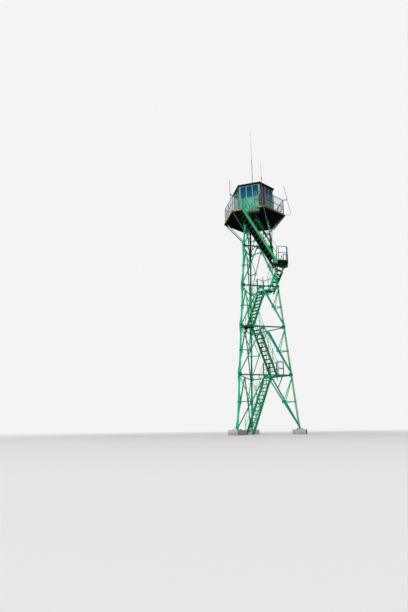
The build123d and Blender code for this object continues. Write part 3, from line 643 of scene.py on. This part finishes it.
# Tread bolts: steel hexagon heads on the outside of each stair side, two to a tread, one behind
# its nosing and one at its back.
tread_bolt_radius = 0.012
tread_bolt_height = 0.009
nosing_to_bolt = 0.06
upper_nosing_to_bolt = 0.05
tread_bolts = bmesh.new()
for head, foot, head_level, foot_level, risers, width in flights:
    along = (foot - head).normalized()
    across = Vector((-along.y, along.x, 0.0))
    going = (foot - head).length / risers
    rise = (head_level - foot_level) / risers
    for step in range(1, risers):
        for reach in (nosing_to_bolt, going - upper_nosing_to_bolt):
            spot = head + along * (going * step - reach)
            for side in (-1.0, 1.0):
                start = Vector((spot.x, spot.y, head_level - rise * step - tread_height / 2))
                start += across * (side * width / 2)
                end = start + across * (side * tread_bolt_height)
                add_rod(tread_bolts, start, end, tread_bolt_radius, 6)
finish_piece("tread_bolts", tread_bolts, bolt_steel, "stair_paint")

# Landings: chequered plate on a frame of upright flats, hung out from the tower on brackets.
# The foot of the frame and the underside are painted nearly black as painted shade.
green_depth = 0.045
green_to_black = 0.005
landing_shade_black = (0.003, 0.012, 0.008)
landings = {"landing_1": level_1, "landing_2": level_2, "landing_3": level_3, "landing_4": level_4}
for landing, level in landings.items():
    green_end = level - green_depth
    landing_green = painted_steel(f"{landing}_green", (0.010, 0.22, 0.09), (0.04, 0.30, 0.14), rust=0.5,
                                  patch=4.0, underside_shade=1.0,
                                  changes=((upwards, green_end, green_end - green_to_black, landing_shade_black),))
    give(landing_green, landing)

# Railings: square tube posts with a top and a middle rail, chalky blue-grey paint with rust
# spots, dark blue from the stair head round to the right. Thin upright bars stand between the
# posts round the platform.
rail_blue = (0.035, 0.075, 0.12)
rail_paint = painted_steel("rail_paint", (0.20, 0.30, 0.30), (0.40, 0.48, 0.50), rust=0.4, patch=3.0,
                           roughness=0.55, changes=((along_x, -0.9, -0.3, rail_blue),))
guard_rust = painted_steel("guard_rust", (0.13, 0.035, 0.022), (0.20, 0.085, 0.05), rust=0.9)
landing_rail_teal = painted_steel("landing_rail_teal", (0.008, 0.075, 0.075), (0.02, 0.12, 0.12), rust=0.4,
                                  patch=3.0)
baluster_paint = painted_steel("baluster_paint", (0.20, 0.24, 0.31), (0.40, 0.44, 0.52), rust=0.35,
                               patch=3.0, roughness=0.55)
give(rail_paint, "platform_railing")
give(landing_rail_teal, "landing_railings")
give(guard_rust, "stair_head_guard")
rail_radius = 2.12
rail_inradius = rail_radius * corner_to_flat
rail_height = 1.13
baluster_side = 0.014
baluster_height = 1.10
baluster_spacing = 0.125
bay_end_gap = 0.06
stair_gap_start = -0.55
stair_gap_end = 0.48
half_run = rail_radius / 2 - bay_end_gap
baluster_gaps = int(2 * half_run / baluster_spacing)
balusters = bmesh.new()
for bay in bay_directions:
    for place in range(baluster_gaps + 1):
        sideways = -half_run + 2 * half_run * place / baluster_gaps
        if bay == stair_bay and stair_gap_start < sideways < stair_gap_end:
            continue
        middle = around(rail_inradius, bay, deck_top + rail_height / 2) + around(sideways, bay + 90.0)
        add_box(balusters, (baluster_side, baluster_side, baluster_height), placing(middle, bay))
finish_piece("railing_balusters", balusters, baluster_paint, "rail_paint")

# Post feet: a small plate under each railing post, with two bolts through the deck.
# Each post stands at a share of its bay's run, moved by half a post's width or not at all.
post_bar = 0.032
corner_gap = 0.03
panel_run = rail_radius - 2 * corner_gap
closed_bay_posts = {0.0: 0.5, 0.5: 0.0, 1.0: -0.5}
stair_bay_posts = {0.0: 0.5, 0.25: -0.5, 0.70: 0.5, 1.0: -0.5}
foot_plate_size = (0.085, post_bar * 1.3, 0.006)
foot_bolt_radius = 0.008
foot_bolt_height = 0.007
foot_bolt_offset = 0.03
post_feet = bmesh.new()
for bay in bay_directions:
    for share, shift in (stair_bay_posts if bay == stair_bay else closed_bay_posts).items():
        sideways = (share - 0.5) * panel_run + shift * post_bar
        placed = placing(around(rail_inradius, bay, deck_top) + around(sideways, bay + 90.0), bay)
        add_box(post_feet, foot_plate_size, placed @ Matrix.Translation((0.0, 0.0, foot_plate_size[2] / 2)))
        for reach in (-foot_bolt_offset, foot_bolt_offset):
            add_round(post_feet, foot_bolt_radius, foot_bolt_height,
                      placed @ Matrix.Translation((reach, 0.0, foot_plate_size[2])), 6)
finish_piece("rail_post_feet", post_feet, rail_paint, "rail_paint")


# Cabin walls: sheet panels in a faded mint green, pressed with level ribs. Riveted cover
# strips lie over the joints, with a drip sill under the windows and a rusty kick strip below.
def on_wall(wall, sideways, height, out):
    """Point on a cabin wall, at a distance from its middle and out from its face."""
    return around(cabin_inradius + out, wall, height) + around(sideways, wall + 90.0)


def window_bays(wall):
    """Where a wall's windows start, and how many stand side by side."""
    return (door_edge, 2) if wall == door_wall else (-wall_half, 3)


# The walls to the right are painted a deeper green, as painted shade.
panel_mint = painted_steel("panel_mint", (0.040, 0.40, 0.24), (0.13, 0.50, 0.34), rust=0.2, streaks=0.2,
                           changes=((along_x, 0.10, 0.45, (0.004, 0.36, 0.18)),))
frame_mint = painted_steel("frame_mint", (0.08, 0.38, 0.26), (0.22, 0.50, 0.38), rust=0.18, patch=3.0)
kick_red = painted_steel("kick_red", (0.14, 0.022, 0.018), (0.05, 0.22, 0.13), rust=1.2, patch=5.0)
give(panel_mint, "cabin_wall_panels")
give(frame_mint, "cabin_corner_posts", "cabin_door_post", "cabin_window_frames")
cabin_radius = 1.42
cabin_inradius = cabin_radius * corner_to_flat
sill_height = 15.77
window_head = 16.665
corner_post = 0.06
wall_half = cabin_radius / 2 - corner_post
door_wall = 300.0
door_edge = -0.105
sheeted_walls = (0.0, 60.0, 240.0, door_wall)
sill_drop = 0.012
sill_width = 0.028
sill_depth = 0.02
kick_height = 0.10
kick_thickness = 0.006
rib_count = 8
lowest_rib = 0.16
rib_spacing = 0.117
rib_width = 0.022
rib_thickness = 0.006
rib_out = 0.001
rib_rounding = 0.0018
cover_to_rib = 0.027
cover_width = 0.05
cover_thickness = 0.004
rivet_count = 9
lowest_rivet = 0.16
rivet_spacing = 0.11
rivet_offset = 0.015
rivet_radius = 0.004
rivet_height = 0.003
trims = bmesh.new()
ribs = bmesh.new()
kick_strips = bmesh.new()
for wall in sheeted_walls:
    left, panels = window_bays(wall)
    sill_level = sill_height - sill_drop
    add_bar(trims, on_wall(wall, left, sill_level, sill_width / 2),
            on_wall(wall, wall_half, sill_level, sill_width / 2), sill_width, sill_depth)
    kick_level = deck_top + kick_height / 2
    add_bar(kick_strips, on_wall(wall, left, kick_level, kick_thickness / 2),
            on_wall(wall, wall_half, kick_level, kick_thickness / 2), kick_thickness, kick_height)
    joints = [left + (wall_half - left) * panel / panels for panel in range(panels + 1)]
    for rib in range(rib_count):
        height = deck_top + lowest_rib + rib_spacing * rib
        for panel in range(panels):
            start = joints[panel] + (cover_to_rib if panel else 0.0)
            end = joints[panel + 1] - (cover_to_rib if panel < panels - 1 else 0.0)
            add_bar(ribs, on_wall(wall, start, height, rib_out), on_wall(wall, end, height, rib_out),
                    rib_thickness, rib_width)
    for joint in joints[1:-1]:
        add_bar(trims, on_wall(wall, joint, deck_top + kick_height, cover_thickness / 2),
                on_wall(wall, joint, sill_level - sill_depth / 2, cover_thickness / 2),
                cover_width, cover_thickness, around(1.0, wall))
        for rivet in range(rivet_count):
            height = deck_top + lowest_rivet + rivet_spacing * rivet
            for offset in (-rivet_offset, rivet_offset):
                start = on_wall(wall, joint + offset, height, cover_thickness)
                add_rod(trims, start, start + around(rivet_height, wall), rivet_radius, 6)
finish_piece("wall_trims", trims, frame_mint, "frame_paint")
bmesh.ops.bevel(ribs, geom=ribs.edges[:], offset=rib_rounding, offset_type="OFFSET", affect="EDGES",
                segments=1, profile=0.5, material=-1)
finish_piece("wall_ribs", ribs, panel_mint, "panel_paint")
finish_piece("wall_kick_strips", kick_strips, kick_red, "panel_paint")

# Windows: dark tinted panes behind thin steel beads. The two walls at the left are glazed down
# to the deck, with clear glass.
clear_walls = (120.0, 180.0)
clear_y = -0.70
clear_x = -0.02
clear_sharpness = 30.0
clearness = 0.84
glass_foot = 15.75
glass_height = 0.75
low_glass = (0.006, 0.13, 0.22)
high_glass = (0.0005, 0.045, 0.145)
dusty_glass = (0.012, 0.09, 0.17)
dust_strength = 0.4
glass, glass_surface, glass_shade = begin_material("window_glass")
glass_where = on_piece(glass_shade)
glass_film = cloud(glass_where, scale=3.0, detail=5.0, roughness=0.6)
glass_rise = ((part_of(glass_where, "Z") - glass_foot) / glass_height).clip()
glass_tint = glass_rise.mix(low_glass, high_glass)
glass_tint = (above(glass_film, level=0.5, sharpness=2.0) * dust_strength).mix(glass_tint, dusty_glass)
clear_side = (above(part_of(glass_where, "Y"), clear_y, clear_sharpness)
              * ((clear_x - part_of(glass_where, "X")) * clear_sharpness).clip())
set_on(glass_surface, "Base Color", glass_tint)
set_on(glass_surface, "Roughness", (0.05 + glass_film * 0.12).clip())
set_on(glass_surface, "Specular IOR Level", 0.12)
set_on(glass_surface, "Alpha", ((0.84 + glass_film * 0.14) * (1.0 - clear_side * clearness)).clip())
bead_paint = painted_steel("bead_paint", (0.02, 0.06, 0.06), (0.05, 0.12, 0.11), rust=0.2, patch=4.0)
give(glass, "cabin_glass")
mullion = 0.045
frame_bar = 0.025
bead_width = 0.01
bead_depth = 0.016
beads = bmesh.new()
for step in range(6):
    wall = 60.0 * step
    left, panes = window_bays(wall)
    foot = deck_top if wall in clear_walls else sill_height
    pane_width = (wall_half - left - mullion * (panes - 1) - 2 * frame_bar) / panes
    for pane in range(panes):
        start = left + frame_bar + pane * (pane_width + mullion)
        end = start + pane_width
        low = foot + frame_bar
        high = window_head - frame_bar
        out = -bead_depth / 2
        for sideways in (start + bead_width / 2, end - bead_width / 2):
            add_bar(beads, on_wall(wall, sideways, low, out), on_wall(wall, sideways, high, out), bead_width,
                    bead_depth, around(1.0, wall))
        for height in (low + bead_width / 2, high - bead_width / 2):
            add_bar(beads, on_wall(wall, start + bead_width, height, out),
                    on_wall(wall, end - bead_width, height, out), bead_depth, bead_width)
finish_piece("window_beads", beads, bead_paint, "frame_paint")

# Door: a dark red steel leaf beside the front corner with a tall pane. It hangs on three barrel
# hinges screwed to the corner post, and has a kick plate along its foot.
door_red = painted_steel("door_red", (0.16, 0.022, 0.016), (0.23, 0.05, 0.035), rust=0.3)
give(door_red, "cabin_door")
hinge_levels = (14.85, 15.55, 16.45)
hinge_length = 0.11
hinge_radius = 0.009
hinge_leaf_reach = 0.03
hinge_leaf_height = 0.08
hinge_leaf_thickness = 0.006
hinge_pin_out = 0.002
hinge_leaf_out = -0.002
hinges = bmesh.new()
for height in hinge_levels:
    spot = on_wall(door_wall, -wall_half, height, hinge_pin_out)
    add_rod(hinges, spot, spot + Vector((0.0, 0.0, hinge_length)), hinge_radius)
    middle = height + hinge_length / 2
    add_bar(hinges, on_wall(door_wall, -wall_half - hinge_leaf_reach, middle, hinge_leaf_out),
            on_wall(door_wall, -wall_half + hinge_leaf_reach, middle, hinge_leaf_out),
            hinge_leaf_thickness, hinge_leaf_height)
finish_piece("door_hinges", hinges, stud_steel, "handle_steel")
kick_plate_start = -wall_half + 0.03
kick_plate_end = -0.18
kick_plate_level = deck_top + 0.13
kick_plate_out = -0.003
kick_plate_thickness = 0.004
kick_plate_height = 0.2
kick_plate = bmesh.new()
add_bar(kick_plate, on_wall(door_wall, kick_plate_start, kick_plate_level, kick_plate_out),
        on_wall(door_wall, kick_plate_end, kick_plate_level, kick_plate_out),
        kick_plate_thickness, kick_plate_height)
finish_piece("door_kick_plate", kick_plate, door_red, "door_paint")

# Bare metal: the lever handle, the two side whips and the wire, dull galvanised steel with a
# pale blue spangle.
dull_zinc = (0.24, 0.33, 0.42)
bright_zinc = (0.44, 0.54, 0.64)
galvanised, galvanised_surface, galvanised_shade = begin_material("galvanised")
galvanised_where = on_piece(galvanised_shade)
galvanised_spangle = cloud(galvanised_where, scale=26.0, detail=4.0, roughness=0.6)
set_on(galvanised_surface, "Base Color",
       above(galvanised_spangle, level=0.3, sharpness=2.0).mix(dull_zinc, bright_zinc))
set_on(galvanised_surface, "Metallic", 0.35)
set_on(galvanised_surface, "Roughness", (0.38 + galvanised_spangle * 0.25).clip())
give(galvanised, "door_handle", "left_whip", "right_whip", "near_whip_wire")

# Roof: dark painted sheet laid in six falls with a standing seam on each hip and mid-fall,
# and a drip edge all round. Dust and rust lie on the falls; the eaves and the head band under
# them are painted near black as painted shade.
roof_low, roof_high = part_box("cabin_roof")
roof_radius = roof_high.y
roof_edge = 0.045
roof_edge_top = roof_low.z + roof_edge
eaves_shade_dark = (0.020, 0.026, 0.027)
roof_dark = painted_steel("roof_dark", (0.024, 0.030, 0.030), (0.088, 0.096, 0.088), rust=0.5, patch=2.1,
                          roughness=0.55,
                          changes=((upwards, roof_edge_top + 0.02, roof_edge_top - 0.01, eaves_shade_dark),))
give(roof_dark, "cabin_roof", "cabin_head_band")
roof_flat = 0.16
seam_width = 0.016
seam_height = 0.03
seam_end_gap = 0.01
seam_lift_at_top = 0.002
seam_lift_at_edge = 0.004
drip_thickness = 0.008
drip_height = 0.05
drip_inset = 0.006
drip_lift = 0.012
seams = bmesh.new()
for step in range(12):
    direction = 30.0 * step
    hip = step % 2 == 1
    outer = roof_radius if hip else roof_radius * corner_to_flat
    inner = roof_flat / corner_to_flat if hip else roof_flat
    top = around(inner, direction, roof_high.z + seam_lift_at_top)
    eaves = around(outer - seam_end_gap, direction, roof_edge_top + seam_lift_at_edge)
    add_bar(seams, top, eaves, seam_width, seam_height)
for step in range(6):
    corner, following = (around(roof_radius - drip_inset, direction, roof_low.z + drip_lift)
                         for direction in (30.0 + 60.0 * step, 90.0 + 60.0 * step))
    add_bar(seams, corner, following, drip_thickness, drip_height)
finish_piece("roof_seams", seams, roof_dark, "roof_paint")

# Mast: a pale painted pole on a bolted plate, with four fins at its foot and clamp bands
# where the aerial's feeder is strapped to it.
mast_grey = painted_steel("mast_grey", (0.30, 0.42, 0.34), (0.44, 0.55, 0.42), rust=0.25)
give(mast_grey, "mast_pole")
mast_plate = 0.012
mast_foot = roof_high.z + mast_plate
mast_radius = 0.03
fin_size = (0.06, 0.008, 0.14)
fin_overlap = 0.002
fin_slope_top = -0.02
plate_bolt_radius = 0.014
plate_bolt_height = 0.014
plate_bolt_distance = 0.12
strap_levels = (17.3, 18.0, 18.7, 19.35)
strap_thickness = 0.006
strap_width = 0.04
fittings = bmesh.new()
for direction in (0.0, 90.0, 180.0, 270.0):
    fin = add_box(fittings, fin_size, Matrix())
    for corner in fin:
        if corner.co.x > 0 and corner.co.z > 0:
            corner.co.x = fin_slope_top
    fin_middle = (mast_radius + fin_size[0] / 2 - fin_overlap, 0.0, mast_foot + fin_size[2] / 2)
    placed = Matrix.Rotation(math.radians(direction), 4, "Z") @ Matrix.Translation(fin_middle)
    bmesh.ops.transform(fittings, verts=fin, matrix=placed)
    add_round(fittings, plate_bolt_radius, plate_bolt_height,
              Matrix.Translation(around(plate_bolt_distance, direction + 45.0, mast_foot)), 6)
for height in strap_levels:
    add_round(fittings, mast_radius + strap_thickness, strap_width,
              Matrix.Translation((0.0, 0.0, height)), 16)
finish_piece("mast_fittings", fittings, mast_grey, "mast_paint")

# Aerials: a white sleeved aerial on the mast, and a rusty pole at the front with a dark knob
# and a grey whip above it.
knob_foot = 16.60
knob_top = 16.7225
knob_dark = (0.035, 0.05, 0.06)
whip_grey = (0.30, 0.40, 0.50)
sleeve_white = painted_steel("sleeve_white", (0.60, 0.64, 0.66), (0.74, 0.77, 0.79), rust=0.0,
                             roughness=0.35, underside_shade=0.3)
give(sleeve_white, "mast_antenna")
pole_rust = painted_steel("pole_rust", (0.24, 0.11, 0.035), (0.34, 0.20, 0.08), rust=1.2,
                          changes=((upwards, knob_foot - 0.01, knob_foot + 0.01, knob_dark),
                                   (upwards, knob_top - 0.0075, knob_top + 0.0075, whip_grey)))
give(pole_rust, "near_whip")

# Whip clamps: a bent rod round each pole, pulled up on its clamp plate by two nuts, and two
# sleeves where the lengths of the side whips join.
rod_radius = 0.005
clamp_leg_start = 0.004
clamp_leg_end = -0.065
clamp_nut_start = -0.047
clamp_nut_end = -0.055
clamp_nut_radius = 0.009
clamp_plate = 0.012
clamp_top = deck_top + rail_height + clamp_plate
left_direction = 210.0
right_direction = -30.0
left_pole_distance = 2.35
lean_foot_distance = 2.56
lean_foot_level = 14.85
lean_head_level = 16.90
near_pole_from_corner = 0.09
near_pole_out = 0.045
left_pole = around(left_pole_distance, left_direction)
near_pole = (around(platform_radius, -90.0) + around(near_pole_from_corner, 150.0)
             + around(near_pole_out, stair_bay))
lean_foot = around(lean_foot_distance, right_direction, lean_foot_level)
lean_head = around(platform_radius, right_direction, lean_head_level)
lean_share = (clamp_top - lean_foot.z) / (lean_head.z - lean_foot.z)
# Each pole: its place, the direction away from its clamp plate, its radius
poles = (
    (left_pole, left_direction, 0.026),
    (lean_foot.lerp(lean_head, lean_share), right_direction, 0.024),
    (near_pole, stair_bay, 0.017),
)
whip_clamps = bmesh.new()
for pole, direction, pole_radius in poles:
    bend = pole_radius + rod_radius
    placed = placing((pole.x, pole.y, clamp_top + rod_radius), direction)
    upright_ring = Matrix.Translation((0.0, -bend, 0.0)) @ Matrix.Rotation(math.pi / 2, 4, "Y")
    ring = bmesh.ops.create_circle(whip_clamps, segments=8, radius=rod_radius, matrix=upright_ring)
    edges = list(dict.fromkeys(edge for corner in ring["verts"] for edge in corner.link_edges))
    bmesh.ops.spin(whip_clamps, geom=ring["verts"] + edges, cent=(0.0, 0.0, 0.0), axis=upwards,
                   angle=math.pi, steps=12, use_duplicate=False)
    bent = [corner for corner in whip_clamps.verts if not corner.tag]
    bmesh.ops.transform(whip_clamps, verts=bent, matrix=placed)
    for side in (-1.0, 1.0):
        leg_start, leg_end, nut_start, nut_end = (
            placed @ Vector((reach, side * bend, 0.0))
            for reach in (clamp_leg_start, clamp_leg_end, clamp_nut_start, clamp_nut_end))
        add_rod(whip_clamps, leg_start, leg_end, rod_radius, 8)
        add_rod(whip_clamps, nut_start, nut_end, clamp_nut_radius, 6)
    for corner in whip_clamps.verts:
        corner.tag = True
bmesh.ops.recalc_face_normals(whip_clamps, faces=whip_clamps.faces[:])
sleeve_wall = 0.005
sleeve_length = 0.07
sleeve_levels = (15.35, 16.2)
sleeve_share = 0.03
sleeve_shares = (0.25, 0.7)
for height in sleeve_levels:
    start = Vector((left_pole.x, left_pole.y, height))
    add_rod(whip_clamps, start, start + Vector((0.0, 0.0, sleeve_length)), poles[0][2] + sleeve_wall, 16)
for share in sleeve_shares:
    add_rod(whip_clamps, lean_foot.lerp(lean_head, share), lean_foot.lerp(lean_head, share + sleeve_share),
            poles[1][2] + sleeve_wall, 16)
sort_faces(whip_clamps)
finish_piece("whip_clamps", whip_clamps, galvanised, "whip_grey")

# Floor and light: a plain pale floor that fades into a pale background, under a soft sky
# and one large soft lamp from the front left.
floor_radius = 600.0
fade_start = 9.0
fade_length = 30.0
sky_light = 0.50
sky_seen = 0.90
plain_white = (1.0, 1.0, 1.0, 1.0)
floor_lit = (0.22, 0.22, 0.22)
floor_pale = (0.90, 0.90, 0.89)
floor_material, floor_surface, floor_shade = begin_material("pale_floor")
floor_seen = floor_shade.node("ShaderNodeLightPath", output="Is Camera Ray")
set_on(floor_surface, "Base Color", floor_seen.mix(floor_lit, floor_pale))
set_on(floor_surface, "Roughness", 0.9)
floor_where = on_piece(floor_shade)
floor_distance = floor_shade.node("ShaderNodeVectorMath", {"operation": "LENGTH"}, {0: floor_where},
                                  output="Value")
pale_glow = floor_shade.node("ShaderNodeEmission", None, {"Color": plain_white, "Strength": sky_seen})
floor_far = ((floor_distance - fade_start) / fade_length).clip() * floor_seen
floor_mixed = floor_shade.node("ShaderNodeMixShader", None, {0: floor_far, 2: pale_glow})
floor_links = floor_material.node_tree.links
floor_links.new(floor_surface.outputs[0], floor_mixed.socket.node.inputs[1])
floor_links.new(floor_mixed.socket, floor_material.node_tree.nodes["Material Output"].inputs["Surface"])
floor_shape = bmesh.new()
bmesh.ops.create_circle(floor_shape, cap_ends=True, segments=96, radius=floor_radius)
floor = make_object("floor", floor_shape, floor_material)

world = bpy.data.worlds.new("soft_sky")
bpy.context.scene.world = world
world.use_nodes = True
sky_shade = Shade(world.node_tree)
background = world.node_tree.nodes["Background"]
plain_rays = (sky_shade.node("ShaderNodeLightPath", output="Is Camera Ray")
              + sky_shade.node("ShaderNodeLightPath", output="Is Glossy Ray")
              + sky_shade.node("ShaderNodeLightPath", output="Is Transmission Ray")).clip()
set_on(background, "Strength", plain_rays * (sky_seen - sky_light) + sky_light)
set_on(background, "Color", plain_white)

key_direction = Vector((0.80, 0.58, -0.20))
key_data = bpy.data.lights.new("key_lamp", "SUN")
key_data.energy = 2.6
key_data.angle = math.radians(12.0)
key = bpy.data.objects.new("key_lamp", key_data)
bpy.context.scene.collection.objects.link(key)
key.rotation_mode = "QUATERNION"
key.rotation_quaternion = key_direction.to_track_quat("-Z", "Y")
